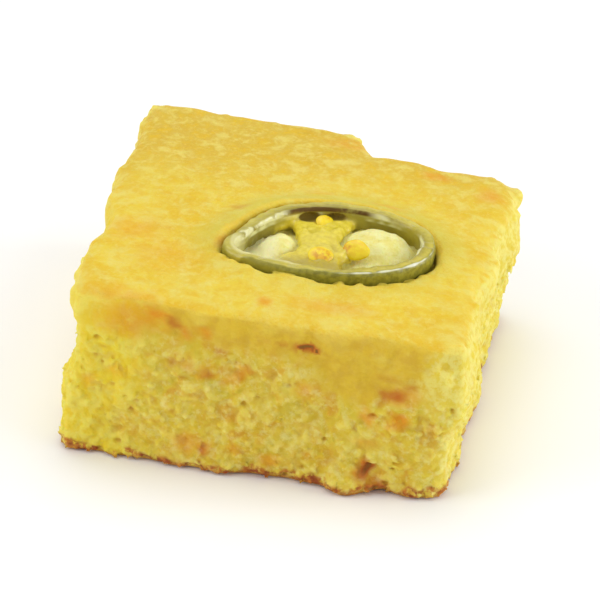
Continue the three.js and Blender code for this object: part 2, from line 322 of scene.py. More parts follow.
def mark(thing, **values):
    """Stores a number for each vertex, for the materials to read by name."""
    for name, numbers in values.items():
        attribute = thing.data.attributes.new(name, "FLOAT", "POINT")
        attribute.data.foreach_set("value", np.ascontiguousarray(numbers, np.float32))


# ---- The slice's own directions ----------------------------------------------------------

slice_low, slice_high = (np.array(corner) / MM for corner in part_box("pepper_slice"))
slice_centre = (slice_low + slice_high) / 2 + SLICE_OFF_MIDDLE
slice_centre[2] = slice_high[2] - RIM_BELOW_TOP
to_frame = np.array(Matrix.Rotation(SLICE_TILT, 3, "Y") @ Matrix.Rotation(SLICE_TURN, 3, "Z"))


def in_slice(points):
    """Places along the slice's long axis, across it and up from its rim."""
    return (points - slice_centre) @ to_frame


HALVINGS = 16  # of the span in which a place's depth in the ring is searched


def into_wall(local):
    """How far inside the ring's outer edge a place is, in plan; below 0 outside it."""
    low = np.full(len(local), -SLICE_SHORT, np.float32)
    high = np.full(len(local), SLICE_SHORT - 0.01, np.float32)
    for _ in range(HALVINGS):
        middle = (low + high) / 2
        long = SLICE_LONG - middle
        x = local[:, 0] / (long + SLICE_POINT * np.clip(-local[:, 0] / long, 0, 1) ** 10)
        left = np.clip(-x, 0, 1) ** 3
        y = (local[:, 1] + SLICE_HOOK * left) / ((SLICE_SHORT - middle) * (1 - SLICE_PINCH * left))
        share = x**2 + y**2
        low = np.where(share < 1, middle, low)
        high = np.where(share < 1, high, middle)
    return (low + high) / 2


# ---- The bread ---------------------------------------------------------------------------

BREAD_PITCH = 0.36
BREAD_BAND = 3.2  # its field is exact this far from its surface
BREAD_REACH = 2.0  # and is worked on this far from it
BREAD_BLUR = 0.6  # takes the flat faces off the frame's relief
BATTER_BLUR = 1.1  # and off the domes of batter in the ring
PLAN_BLUR = 3.0
HOLLOW_BLUR = 1.2
BREAD_TRIANGLES = 196000
DENSE_BAND = (-1.0, 6.5)  # crumb under the crust is fine from here, and open from there down
CRUST_TURN = (0.5, 0.85)  # how level a surface is that counts as a cut, and as crust
POCKET = (-1.6, -0.4)  # the pocket's side starts and ends here, measured in from the ring's edge
FOOT = 1.7  # the brown of the pan side climbs the cuts this far, give or take the next
FOOT_WAVES = 1.4
UNDER_PEPPER = 0.3  # the bread fills what is this deep inside the pepper's surface
UNDER_HOLLOW = 0.8  # but stays this far from its hollows
UNDER_FILLET = 1.2

# Relief of the cuts: height, length and seed of each layer of waves.
HUMPS = [(0.3, 3.2, 21)]
EDGE_BUMPS = [(1.0, 2.8, 24), (0.5, 1.4, 25)]
GRIT = [(0.08, 1.0, 22)]
FUZZ = [(0.06, 0.6, 23)]
# Lumps that stand out of a cut: the balls, how far the cut between them sinks, how far they stand
# proud of it, and the fillet that joins them to it.
CLUMPS = {"size": 2.1, "seed": 31, "smallest": 0.5, "largest": 1.15}
GRAINS = {"size": 1.05, "seed": 41, "smallest": 0.25, "largest": 0.55}
LUMPS = [(CLUMPS, 0.14, 0.14, 0.5), (GRAINS, 0.12, 0.15, 0.3)]
# Pores, which are a little flatter than balls.
HOLES = {"size": 3.0, "seed": 51, "smallest": -1.2, "largest": 0.9, "favour": 0.8}
HOLE_FLATNESS = np.array([1, 1, 1.3], np.float32)
HOLE_DEPTH = 0.6
PORES = {"size": 1.4, "seed": 61, "smallest": -0.4, "largest": 0.4}
PORE_DEPTH = 0.3

# Relief of the crust, of the batter in the ring and of the pan side.
SWELL = [(0.16, 7, 71), (0.09, 2.6, 72), (0.06, 1.2, 73)]
BATTER = [(0.18, 1.4, 76), (0.1, 0.7, 77)]
DIMPLES = {"size": 2.4, "seed": 74, "smallest": -0.6, "largest": 0.55}
PITS = {"size": 1.7, "seed": 75, "smallest": -0.2, "largest": 0.7}

RELIEF_ONLY = ("cut", "edge", "ragged")  # zones that no material reads


def crust_plans(field):
    """Over every column of the grid: the height of the crust, carried on past the cuts, and how
    much of what is near is bread, from a half at a cut to 1 away from it."""
    solid = field.values < 0
    levels = solid.shape[2]
    top = (levels - 1 - np.argmax(solid[:, :, ::-1], axis=2)) * field.pitch + field.corner[2]
    there = solid.any(axis=2).astype(np.float32)
    spread = PLAN_BLUR / field.pitch
    heights = blurred((top * there).astype(np.float32), spread)
    share = blurred(there, spread)
    return heights / np.maximum(share, 1e-3), share


def over(points, field, plan):
    """The value of a plan, one number for each column of the grid, over or under each point."""
    column = ((points - field.corner) / field.pitch).astype(int)
    column = np.clip(column, 0, np.array(field.values.shape) - 1)
    return plan[column[:, 0], column[:, 1]]


def bread_zones(points, base, plans):
    """What the bread is like at each point, as shares from 0 to 1."""
    heights, shares = plans
    up = base.normals(points)[:, 2]
    depth = over(points, base, heights) - points[:, 2]
    depth += 1.5 * waves(points, 14, 5) - 1.5 * smoothstep(-15, 10, points[:, 0])
    local = in_slice(points)
    inwards = into_wall(local)
    within = smoothstep(*POCKET, inwards)
    level = smoothstep(*CRUST_TURN, np.abs(up))
    foot = FOOT + FOOT_WAVES * waves(points, 2.0, 6)
    ragged = np.maximum(smoothstep(-20, 10, points[:, 1]), smoothstep(20, 32, points[:, 0]))
    torn = smoothstep(-0.5, 0.3, waves(points, 9, 7) + ragged - 0.3)
    edge = smoothstep(0.85, 0.6, over(points, base, shares)) * (1 - within)
    return {
        # The torn cuts, the baked top, the corner where they meet and the crumb bared there.
        "cut": (1 - level) * (1 - within),
        "crust": smoothstep(*CRUST_TURN, up) * (1 - within),
        "edge": edge * (0.3 + 0.7 * torn),
        "broken": edge * torn * smoothstep(5.0, 1.0, depth),
        # Crumb close under the crust, and how open the crumb is further down.
        "skin": smoothstep(5.5, 0.5, depth) * (1 - within),
        "open": smoothstep(*DENSE_BAND, depth),
        # The pan side, the batter in the ring, the pocket's side, the ring's left end with painted
        # light on its shaded batter, the foot.
        "pan": smoothstep(foot + 0.4, foot - 0.4, points[:, 2]),
        "cream": smoothstep(0.3, 1.0, inwards) * smoothstep(-9, -7, local[:, 2]),
        "beside": within,
        "lining": smoothstep(0.3, 1.0, inwards) * smoothstep(-8.0, -10.5, local[:, 0]),
        "foot": smoothstep(1.3, 0.6, points[:, 2] + 0.5 * waves(points, 1.6, 12)),
        # The greener crust around the ring, and the pocket's ragged rim.
        "ring": bump(inwards / 8) * (0.35 + 0.65 * smoothstep(-6, 2, local[:, 1])) * (1 - within),
        "ragged": bump((inwards + 0.5) / 1.6) * smoothstep(0, -5, local[:, 1]),
        # The duller back of the top, and the bright left and pale right of the front cut: partly
        # the crumb's own colour, partly painted light falling from each side.
        "back": smoothstep(-2, 30, points[:, 1] - 0.25 * points[:, 0] + 4 * waves(points, 12, 8)),
        "bright": smoothstep(-15, -27, points[:, 0] + 4 * waves(points, 8, 9))
        * smoothstep(10, -25, points[:, 1]),
        "pale": smoothstep(25, 29, points[:, 0] + 2 * waves(points, 5, 10)),
    }


def bent(points):
    """Places pushed about by slow noise, so that no clump or pore is regular."""
    return shaken(points, 0.6, 3.5, 11)


def worked_crumb(points, footing, distance, zones):
    """The distances of the smooth bread, with clumps, grains and pores.

    `footing` is the place on the smooth surface nearest to each point: a pore that is laid out
    there opens as wide as it is inside.
    """
    edge = zones["edge"] * np.maximum(zones["cut"], zones["crust"]) * (1 - zones["open"])
    cut = np.maximum(zones["cut"], edge)
    rough = np.maximum(zones["cut"] * (0.3 + 0.7 * zones["open"]), 0.8 * edge)
    crooked = bent(points)
    distance = distance + rough * (layered(crooked, HUMPS) - 0.1)
    distance = distance + edge * (layered(crooked, EDGE_BUMPS) + 0.25)
    for kind, sunk, proud, fillet in LUMPS:
        ball, _ = balls(crooked, **kind)
        standing = np.maximum(ball, distance - proud)
        joined = soft_min(distance + sunk * rough, standing + 1.2 * (1 - rough), fillet)
        distance = np.where(cut > 0, joined, distance)
    distance = distance + rough * (layered(crooked, GRIT) + layered(points, FUZZ))
    footing = bent(footing)
    hole, _ = balls(footing * HOLE_FLATNESS, **HOLES)
    hole = hole + 0.5 * waves(footing, 1.3, 52)
    pore, _ = balls(footing, **PORES)
    dents = HOLE_DEPTH * smoothstep(0.2, -0.6, hole) + PORE_DEPTH * smoothstep(0.1, -0.3, pore)
    return distance + rough * dents


def worked_skin(points, distance, zones):
    """Adds the low relief of the crust, the batter, the pocket's rim and the pan side."""
    crust, pan = zones["crust"], zones["pan"]
    distance = distance + zones["cream"] * layered(points, BATTER)
    distance = distance + zones["ragged"] * 0.4 * waves(points, 1.5, 78)
    distance = distance + crust * layered(points, SWELL)
    dimple, _ = balls(points, **DIMPLES)
    distance = soft_max(distance, -(dimple + 0.45 + 0.8 * (1 - crust)), 0.3)
    pit, _ = balls(points, **PITS)
    return soft_max(distance, -(pit + 0.2 + 0.9 * (1 - pan)), 0.25)


def worked_bread(base, plans):
    """The bread's field with all its relief, kept inside the solid's box."""
    near = np.abs(base.values) < BREAD_REACH
    points = base.points(near)
    zones = bread_zones(points, base, plans)
    smooth = base.values[near]
    smooth = smooth + zones["cream"] * (base.softened(BATTER_BLUR).at(points) - smooth)
    footing = points - base.normals(points) * smooth[:, None]
    distance = worked_crumb(points, footing, smooth, zones)
    distance = worked_skin(points, distance, zones)
    clear = UNDER_HOLLOW - hollowed(in_slice(points))
    under_pepper = np.maximum(pepper_field.at(points) + UNDER_PEPPER, clear)
    distance = soft_min(distance, under_pepper, UNDER_FILLET)
    low, high = (np.array(corner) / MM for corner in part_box("cornbread"))
    return base.changed(near, np.maximum(distance, beyond(points, low, high)))


def bread_piece():
    base = field_of("cornbread", BREAD_PITCH, BREAD_BAND).softened(BREAD_BLUR)
    plans = crust_plans(base)
    worked = worked_bread(base, plans)
    bread = mesh_of(worked, "bread", BREAD_TRIANGLES)
    points = places(bread)
    zones = bread_zones(points, base, plans)
    for name in RELIEF_ONLY:
        del zones[name]
    zones["clump"] = balls(bent(points), **CLUMPS)[1]
    zones["grain"] = balls(bent(points), **GRAINS)[1]
    # Painted shade and highlight: the height of each point over the softened surface, which darkens
    # the pits and lightens the proud grains.
    zones["hollow"] = worked.softened(HOLLOW_BLUR).at(points)
    # Painted shade where the bread meets the pepper, strongest in front of the slice.
    front = smoothstep(1, -4, in_slice(points)[:, 1])
    zones["shade_at_pepper"] = smoothstep(1.1, 0.35, pepper_field.at(points)) * (0.6 + 0.4 * front)
    for name, spots in SPOTS.items():
        zones[name] = spotted(points, spots)
    mark(bread, **zones)
    return bread


# Melted cheddar and scorched crumb: middle, half sizes and strength. Scorch turns dark above 0.8,
# and the darkest spots are painted shadow, in a pit under a lip and in the notch at the foot.
SPOTS = {
    "cheddar": [
        ((-22.7, -34, 30.2), (7.5, 4, 2.2), 0.4),
        ((-22.1, -34, 26.4), (7.5, 4, 3.4), 0.6),
        ((-17.8, -34, 27.4), (3.2, 4, 1.7), 0.95),
        ((-13.1, -34, 25.1), (1.7, 4, 1.5), 0.7),
        ((-10.0, -34, 25.9), (1.7, 4, 1.4), 0.7),
        ((-9.3, -34, 18.6), (3.0, 4, 1.8), 0.5),
        ((-3.6, -34, 19.5), (2.4, 4, 1.3), 0.6),
        ((-4.3, -34, 18.2), (1.5, 4, 1.2), 0.5),
        ((-5.8, -34, 17.1), (1.8, 4, 1.2), 0.4),
        ((-28.1, -34, 14.3), (1.8, 4, 1.8), 0.4),
        ((-24.3, -34, 17.0), (2.0, 4, 1.5), 0.4),
        ((6.0, -34, 18.0), (2.5, 4, 2.0), 0.4),
        ((16.3, -34, 14.2), (1.4, 4, 1.6), 0.7),
        ((21.4, -34, 14.1), (2.4, 4, 1.7), 0.9),
        ((21.8, -34, 18.4), (3.6, 4, 2.2), 0.5),
        ((-11.8, -34, 5.0), (4.0, 4, 2.7), 0.5),
        ((-4.5, -34, 5.5), (1.9, 4, 1.4), 0.5),
        ((1.0, -34, 3.9), (2.4, 4, 1.6), 0.5),
        ((16.3, -34, 8.8), (2.4, 4, 1.6), 0.4),
        ((-1.7, -29.2, 29.8), (1.5, 1.8, 3), 0.8),
        ((19.2, 22.4, 28.6), (3.4, 1.6, 3), 0.9),
        ((29.0, 18.4, 27.8), (2.6, 3.0, 3), 0.6),
        ((3.2, 28.8, 29.4), (6.0, 2.5, 3), 0.4),
        ((13.0, 7.2, 29.2), (3.2, 1.4, 3), 0.4),
        ((1.5, 9.0, 30.0), (3.4, 1.2, 3), 0.3),
        ((-20.0, -20.0, 31), (7.0, 6.0, 3), 0.25),
        ((34.4, 7.9, 27.0), (2.2, 3.0, 3), 0.7),
        ((-11.3, -1.6, 30.5), (1.8, 1.6, 3), 0.4),
        ((-26.0, -13.0, 31.0), (6.0, 5.0, 3), 0.35),
        ((9.0, -27.5, 29.5), (8.0, 2.4, 3), 0.35),
        ((-36.0, 12.0, 18.0), (4, 3.4, 2.4), 0.6),
        ((-36.0, -9.0, 9.0), (4, 2.4, 2.0), 0.7),
        ((9.0, 36.0, 15.0), (3.6, 4, 2.6), 0.6),
        ((-14.0, 38.0, 10.0), (2.2, 4, 1.8), 0.7),
        ((34.5, -6.0, 12.0), (4, 2.6, 2.0), 0.6),
        ((34.5, 17.0, 17.0), (4, 2.0, 1.6), 0.7),
    ],
    "scorch_and_shadow": [
        ((-14.7, -34, 26.5), (1.8, 4, 1.3), 0.75),
        ((-7.6, -34, 22.4), (1.2, 4, 0.9), 0.7),
        ((-15.0, -34, 19.7), (1.4, 4, 1.6), 0.5),
        ((-12.9, -34, 19.3), (1.4, 4, 1.3), 0.4),
        ((-9.3, -34, 18.6), (1.8, 4, 1.0), 0.4),
        # Painted shadow: a dark pit under a lip.
        ((7.4, -34, 25.1), (1.3, 5, 0.9), 1.9),
        ((6.0, -34, 25.9), (1.5, 5, 0.7), 1.5),
        ((2.8, -34, 25.6), (3.8, 4, 0.5), 0.7),
        ((18.7, -34, 18.0), (1.8, 4, 1.4), 0.9),
        ((20.7, -34, 18.9), (2.4, 4, 1.3), 0.9),
        ((23.0, -34, 20.4), (1.3, 4, 1.1), 0.5),
        ((19.2, -34, 21.7), (2.6, 4, 1.1), 0.25),
        ((-9.2, -34, 4.2), (1.2, 4, 1.5), 0.8),
        ((-13.4, -34, 5.4), (1.3, 4, 1.1), 0.4),
        # Painted shadow: the notch at the foot.
        ((16.6, -34, 4.4), (1.5, 6, 2.4), 1.3),
        ((18.4, -34, 1.8), (2.2, 6, 1.3), 1.5),
        ((-12.7, -34, 0.5), (1.7, 4, 1.2), 0.7),
        ((-11.3, -1.6, 30.5), (1.6, 1.5, 3), 0.5),
        ((-11.5, -13.8, 30.5), (1.4, 1.6, 3), 0.4),
        ((-36.0, 4.0, 21.0), (4, 1.4, 1.0), 0.6),
        ((-36.0, 24.0, 9.0), (4, 1.3, 1.2), 0.6),
        ((20.0, 34.0, 8.0), (1.5, 4, 1.2), 0.6),
        ((-3.0, 37.0, 21.0), (1.4, 4, 0.9), 0.6),
        ((34.5, 2.0, 7.0), (4, 1.4, 1.1), 0.6),
    ],
}


SPOT_FADE = 1.25  # a spot fades out at this share of its half sizes


def spotted(points, spots):
    """How strongly soft spots, frayed by noise, colour each point."""
    frayed = shaken(points, 0.9, 1.8, 81)
    total = np.zeros(len(points), np.float32)
    for middle, half, strength in spots:
        away = np.linalg.norm((frayed - np.array(middle)) / np.array(half), axis=1)
        total = np.maximum(total, strength * bump(away / SPOT_FADE))
    return total


# ---- The pepper --------------------------------------------------------------------------

PEPPER_PITCH = 0.18
PEPPER_BAND = 1.6  # its field is exact this far from its surface
PEPPER_REACH = 0.9  # and is worked on this far from it
PEPPER_BLUR = 1.6 * PEPPER_PITCH
PEPPER_TRIANGLES = 190000
AROUND_PEPPER_PITCH = 0.3  # the coarser field that the bread reads around the slice
AROUND_PEPPER_BAND = 4.0
WALL_TO_WEB = (3.1, 2.3)  # how far in from the ring's edge all is web, and all is wall
RIM_REACH = (-1.4, -0.5)  # heights at which the rim has faded out, and is whole

# Relief of the flesh: height, length and seed of each layer of waves, and how ribs are drawn out.
RIM_RIDGE = 0.2
RIDGE_MIDDLE = 1.2  # how far in from the ring's edge the ridge is, and how far it spreads
RIDGE_HALF = 0.8
RIM_RADIUS = 18  # of the circle that stands in for the ring, so that its ribs run across it
RIM_WAVES = [(0.12, 2.2, 91)]
WALL_RIBS = [(0.12, 1.5, 92)]
WALL_GRAIN = np.array([1, 1, 0.4])
WEB_STRANDS = [(0.32, 1.5, 93), (0.14, 0.7, 94)]
WEB_GRAIN = np.array([1.0, 0.6, 1.0])

# Hollows between the web and the wall, in the slice's own directions: middle and half sizes.
HOLLOWS = [
    ((-3.3, 9.3, -1.9), (1.9, 1.2, 0.8)),
    ((1.4, 9.7, -1.8), (1.5, 1.0, 0.6)),
]


def hollowed(local):
    """How far outside the nearest hollow a place is, in millimetres; below 0 inside it."""
    nearest = np.full(len(local), np.inf, np.float32)
    for middle, half in HOLLOWS:
        away = np.linalg.norm((local - np.array(middle)) / np.array(half), axis=1)
        nearest = np.minimum(nearest, (away - 1) * min(half))
    return nearest


def worked_flesh(points, distance):
    """Adds the rim's shrunken skin and wrinkles, the ribs of the wall, the web and its hollows."""
    local = in_slice(points)
    inwards = into_wall(local)
    ring = smoothstep(*WALL_TO_WEB, inwards)
    web = 1 - ring
    rim = ring * smoothstep(*RIM_REACH, local[:, 2])
    angle = np.arctan2(local[:, 1] / SLICE_SHORT, local[:, 0] / SLICE_LONG)
    around = np.stack([np.cos(angle), np.sin(angle)], axis=1) * RIM_RADIUS
    around = np.column_stack([around, local[:, 2]])
    distance = distance + rim * RIM_RIDGE * bump((inwards - RIDGE_MIDDLE) / RIDGE_HALF)
    distance = distance + rim * layered(around, RIM_WAVES)
    distance = distance + ring * layered(around * WALL_GRAIN, WALL_RIBS)
    distance = distance + web * layered(local * WEB_GRAIN, WEB_STRANDS)
    return soft_max(distance, -hollowed(local), 0.3)


def pepper_piece():
    base = field_of("pepper_slice", PEPPER_PITCH, PEPPER_BAND).softened(PEPPER_BLUR)
    near = np.abs(base.values) < PEPPER_REACH
    points = base.points(near)
    distance = worked_flesh(points, base.values[near])
    worked = base.changed(near, np.maximum(distance, beyond(points, slice_low, slice_high)))
    flesh = mesh_of(worked, "pepper_flesh", PEPPER_TRIANGLES)
    points = places(flesh)
    local = in_slice(points)
    mark(
        flesh,
        inwards=into_wall(local),
        below=-local[:, 2],
        relief=base.at(points),
        across=local[:, 1],
        along=local[:, 0],
        hollow=hollowed(local),
    )
    return flesh


SEED_HALF = np.array([2.1, 1.8, 0.6])
SEED_POINT = 0.16  # one end is drawn out by this share
SEED_DISH = 0.12  # the middle is thinner by this share, as far out as the next
SEED_DISH_REACH = 0.6
SEED_WAVES = [(0.05, 0.9, 95)]
SEEDS = [  # place in the slice, turn, tilt, size, and which part is orange: its middle and reach
    ((3.3, -2.9, -0.95), -0.35, 0.75, 1.0, (-1.9, -0.2), 2.2),
    ((-2.8, -5.4, -0.85), 0.15, 0.5, 0.95, (0.4, -0.5), 2.9),
    ((-0.8, 8.0, -2.0), 0.4, 0.5, 0.7, (1.2, 0.6), 0.6),
]


def unit_ball():
    """The corners and triangles of a ball of radius 1."""
    shape = bmesh.new()
    bmesh.ops.create_icosphere(shape, subdivisions=4, radius=1)
    shape.verts.index_update()
    corners = np.array([vertex.co for vertex in shape.verts])
    faces = np.array([[vertex.index for vertex in face.verts] for face in shape.faces])
    shape.free()
    return corners, faces


def seed_shape(ball, number):
    """A flat disc with one blunt point, a dished middle and its own unevenness."""
    x, y, z = ball.T
    point = 1 + SEED_POINT * np.clip(x, 0, 1) ** 3
    thick = 1 - SEED_DISH * bump(np.hypot(x, y) / SEED_DISH_REACH)
    shaped = np.stack([x * point, y, z * thick], axis=1) * SEED_HALF
    return shaped + layered(shaped + 9 * number, SEED_WAVES)[:, None] * ball


def seeds_piece():
    """The pepper's seeds, on the web."""
    ball, faces = unit_ball()
    all_points, all_faces, oranges = [], [], []
    for number, (place, turn, tilt, size, orange, reach) in enumerate(SEEDS):
        shaped = seed_shape(ball, number)
        oranges.append(bump(np.linalg.norm(shaped[:, :2] - orange, axis=1) / reach))
        turned = np.array(Matrix.Rotation(turn, 3, "Z") @ Matrix.Rotation(tilt, 3, "X"))
        local = size * shaped @ turned.T + place
        all_points.append(local @ to_frame.T + slice_centre)
        all_faces.append(faces + number * len(ball))
    points, faces = np.concatenate(all_points) * MM, np.concatenate(all_faces)
    mesh = bpy.data.meshes.new("pepper_seeds")
    mesh.from_pydata(points.tolist(), [], faces.tolist())
    mesh.shade_smooth()
    seeds = bpy.data.objects.new("pepper_seeds", mesh)
    bpy.context.scene.collection.objects.link(seeds)
    mark(seeds, own=np.concatenate(oranges))
    return seeds


# ---- Materials ---------------------------------------------------------------------------


def colour(red, green, blue):
    """A colour picked on a screen, 0 to 255, as the linear one that shaders take."""
    linear = [((c / 255 + 0.055) / 1.055) ** 2.4 for c in (red, green, blue)]
    return (*linear, 1.0)


class Paint:
    """A material, and short calls for the nodes that colour it. Sizes are millimetres."""

    def __init__(self, name, **settings):
        self.material = bpy.data.materials.new(name)
        self.material.use_nodes = True
        self.tree = self.material.node_tree
        self.shader = self.tree.nodes["Principled BSDF"]
        for socket, value in settings.items():
            self.shader.inputs[socket.replace("_", " ")].default_value = value
        self.place = self.tree.nodes.new("ShaderNodeTexCoord").outputs["Object"]

    def put(self, socket, value):
        """Sets a socket to a number or colour, or links it to another node's output."""
        if isinstance(value, bpy.types.NodeSocket):
            self.tree.links.new(value, socket)
        else:
            socket.default_value = value

    def read(self, name):
        node = self.tree.nodes.new("ShaderNodeAttribute")
        node.attribute_name = name
        return node.outputs["Fac"]

    def noise(self, size, detail=3.0, roughness=0.55, warp=0.0):
        node = self.tree.nodes.new("ShaderNodeTexNoise")
        self.put(node.inputs["Vector"], self.place)
        self.put(node.inputs["Scale"], 1 / (size * MM))
        self.put(node.inputs["Detail"], detail)
        self.put(node.inputs["Roughness"], roughness)
        self.put(node.inputs["Distortion"], warp)
        return node.outputs["Fac"]

    def between(self, value, low, high):
        """0 where the value is `low`, 1 where it is `high`, smooth between."""
        node = self.tree.nodes.new("ShaderNodeMapRange")
        node.interpolation_type = "SMOOTHSTEP"
        self.put(node.inputs["Value"], value)
        flipped = low > high
        self.put(node.inputs["From Min"], min(low, high))
        self.put(node.inputs["From Max"], max(low, high))
        self.put(node.inputs["To Min"], 1.0 if flipped else 0.0)
        self.put(node.inputs["To Max"], 0.0 if flipped else 1.0)
        return node.outputs["Result"]

    def combine(self, operation, a, b=0.0):
        node = self.tree.nodes.new("ShaderNodeMath")
        node.operation = operation
        self.put(node.inputs[0], a)
        self.put(node.inputs[1], b)
        return node.outputs[0]

    def times(self, a, b):
        return self.combine("MULTIPLY", a, b)

    def plus(self, a, b):
        return self.combine("ADD", a, b)

    def inverse(self, share):
        return self.combine("SUBTRACT", 1.0, share)

    def mix(self, share, a, b):
        node = self.tree.nodes.new("ShaderNodeMix")
        node.data_type = "RGBA"
        self.put(node.inputs["Factor"], share)
        self.put(node.inputs[6], a)
        self.put(node.inputs[7], b)
        return node.outputs[2]

    def blend(self, value, low, high, a, b):
        """One colour where a value is `low`, and another where it is `high`."""
        return self.mix(self.between(value, low, high), a, b)

    def coats(self, base, *coats):
        """Lays coats over a colour, each of a share, its strength and the coat's own colour."""
        for share, strength, coat in coats:
            base = self.mix(self.times(share, strength), base, coat)
        return base

    def relief(self, height, depth):
        """Fine relief that is too small for the mesh, `depth` deep."""
        node = self.tree.nodes.new("ShaderNodeBump")
        self.put(node.inputs["Height"], height)
        self.put(node.inputs["Distance"], depth * MM)
        self.tree.links.new(node.outputs["Normal"], self.shader.inputs["Normal"])

    def finish(self, base, roughness=None):
        self.put(self.shader.inputs["Base Color"], base)
        if roughness is not None:
            self.put(self.shader.inputs["Roughness"], roughness)
        return self.material


def bread_patterns(p):
    """The noises that the colours of the bread share."""
    return SimpleNamespace(
        patch=p.noise(11, 2.0),
        blotch=p.noise(4.5),
        hue=p.noise(3.2, 2.5, warp=0.4),
        mottle=p.noise(2.8, 3.0, 0.6, 0.3),
        fleck=p.noise(2.0),
        fuzz=p.noise(1.4, 3.0, 0.65),
        speck=p.noise(0.8),
    )


def crumb_colour(p, n):
    """The cuts: yellow crumb of mixed grains, denser under the crust, brighter at the left and
    paler at the right, partly painted light; painted shade in the pits and painted highlights on
    the proud grains.
    """
    clump, grain, hollow = p.read("clump"), p.read("grain"), p.read("hollow")
    crumb = p.coats(
        p.blend(n.patch, 0.38, 0.62, colour(226, 198, 54), colour(219, 185, 44)),
        (p.between(n.hue, 0.48, 0.68), 0.7, colour(214, 154, 38)),
        (p.between(n.hue, 0.5, 0.32), 0.6, colour(208, 190, 54)),
        (p.between(n.blotch, 0.5, 0.66), 0.6, colour(233, 212, 86)),
        (p.between(clump, 0.5, 0.9), 0.2, colour(236, 216, 90)),
        (p.between(grain, 0.6, 0.9), 0.3, colour(240, 226, 122)),
        (p.between(grain, 0.3, 0.05), 0.2, colour(218, 170, 40)),
        (p.between(n.fuzz, 0.46, 0.74), 0.7, colour(238, 226, 138)),
    )
    dense = p.blend(n.fleck, 0.4, 0.65, colour(226, 194, 52), colour(218, 180, 46))
    skin = p.blend(n.fleck, 0.35, 0.65, colour(229, 194, 50), colour(218, 177, 42))
    bright = p.blend(n.mottle, 0.4, 0.6, colour(242, 227, 94), colour(240, 213, 34))
    pale = p.blend(n.fuzz, 0.4, 0.6, colour(232, 212, 66), colour(240, 231, 132))
    return p.coats(
        crumb,
        (p.between(p.read("open"), 0.8, 0.1), 0.6, dense),
        (p.read("skin"), 0.75, skin),
        # Partly painted light: the left of the front cut brighter and the right paler, as lit from
        # each side.
        (p.read("bright"), 0.8, bright),
        (p.read("pale"), 0.7, pale),
        # Painted shade in the pits, and painted highlights on the proud grains.
        (p.between(hollow, -0.1, -0.5), 0.6, colour(214, 162, 42)),
        (p.between(hollow, 0.1, 0.4), 0.25, colour(240, 224, 110)),
    )


def crust_colour(p, n):
    """The baked top: golden, duller at the back and greener around the slice."""
    return p.coats(
        p.blend(n.patch, 0.35, 0.65, colour(234, 206, 63), colour(229, 193, 47)),
        (p.between(n.fleck, 0.4, 0.75), 0.45, colour(225, 177, 36)),
        (p.between(n.blotch, 0.35, 0.75), 0.5, colour(235, 217, 100)),
        (p.read("back"), 0.65, colour(210, 172, 54)),
        (p.between(n.mottle, 0.47, 0.68), 0.7, colour(233, 215, 108)),
        (p.between(n.mottle, 0.5, 0.3), 0.7, colour(230, 189, 34)),
        (p.between(n.speck, 0.5, 0.7), 0.3, colour(238, 222, 120)),
        (p.read("ring"), 0.7, colour(208, 197, 80)),
    )


def batter_colour(p, n):
    """The domes in the ring: pale batter, palest at the ring's left end, where painted light lifts
    the shade.
    """
    return p.coats(
        p.blend(n.fleck, 0.4, 0.65, colour(242, 238, 164), colour(236, 226, 132)),
        (p.between(n.fuzz, 0.5, 0.68), 0.6, colour(224, 212, 100)),
        # Painted light: the shaded batter at the ring's left end is painted paler.
        (p.read("lining"), 0.7, colour(246, 242, 190)),
    )


def scorched_and_shadowed(p, base):
    """Adds the scorched spots: rusty on the cuts, tan on the crust, dark where they are strong,
    which is painted shadow in a pit under a lip and in the notch at the foot.
    """
    scorch_and_shadow = p.read("scorch_and_shadow")
    burnt = p.mix(p.read("crust"), colour(190, 70, 16), colour(188, 136, 42))
    # Painted shadow where a spot is strongest.
    burnt = p.blend(scorch_and_shadow, 0.8, 1.4, burnt, colour(112, 68, 24))
    return p.coats(base, (p.combine("MINIMUM", scorch_and_shadow, 1.0), 0.85, burnt))


def browned(p, base):
    """Adds the brown skin of the pan side, which climbs the cuts in dots."""
    brown = p.blend(p.noise(1.6), 0.4, 0.62, colour(200, 128, 44), colour(156, 76, 26))
    dots = p.times(p.read("pan"), p.between(p.noise(1.7, 3.0, 0.6), 0.4, 0.56))
    return p.mix(p.combine("MAXIMUM", dots, p.times(p.read("foot"), 0.8)), base, brown)


def bread_material():
    p = Paint(
        "cornbread",
        Subsurface_Weight=0.5,
        Subsurface_Radius=(1.0, 0.75, 0.25),
        Subsurface_Scale=1.8 * MM,
        Specular_IOR_Level=0.3,
    )
    n = bread_patterns(p)
    top = p.combine("MAXIMUM", p.read("crust"), p.read("beside"))
    base = p.mix(top, crumb_colour(p, n), crust_colour(p, n))
    broken = p.times(p.read("broken"), p.between(n.fuzz, 0.35, 0.6))
    base = p.coats(base, (broken, 0.75, colour(238, 226, 118)))
    base = p.mix(p.read("cream"), base, batter_colour(p, n))
    cheddar = p.times(p.read("cheddar"), p.between(n.fleck, 0.15, 0.5))
    base = p.coats(
        base,
        # Painted shade where the bread meets the pepper.
        (p.read("shade_at_pepper"), 0.6, colour(186, 166, 54)),
        (cheddar, 1.0, colour(232, 146, 14)),
    )
    base = browned(p, scorched_and_shadowed(p, base))
    p.relief(p.plus(p.noise(0.45, 4.0, 0.65), p.times(p.noise(1.1), 0.6)), 0.25)
    rough = p.between(p.noise(3.0), 0.2, 0.8)
    return p.finish(base, p.plus(0.5, p.times(rough, 0.25)))


def slice_patterns(p):
    """The places and noises that the colours of the slice share."""
    along, across = p.read("along"), p.read("across")
    return SimpleNamespace(
        inwards=p.read("inwards"),
        below=p.read("below"),
        along=along,
        across=across,
        off_middle=p.combine("ABSOLUTE", along),
        left=p.between(along, -7, -13),
        behind=p.between(across, -2, 4),
        before=p.between(across, -2, -5),
        patch=p.noise(4.0, 2.0),
        fleck=p.noise(0.9),
    )


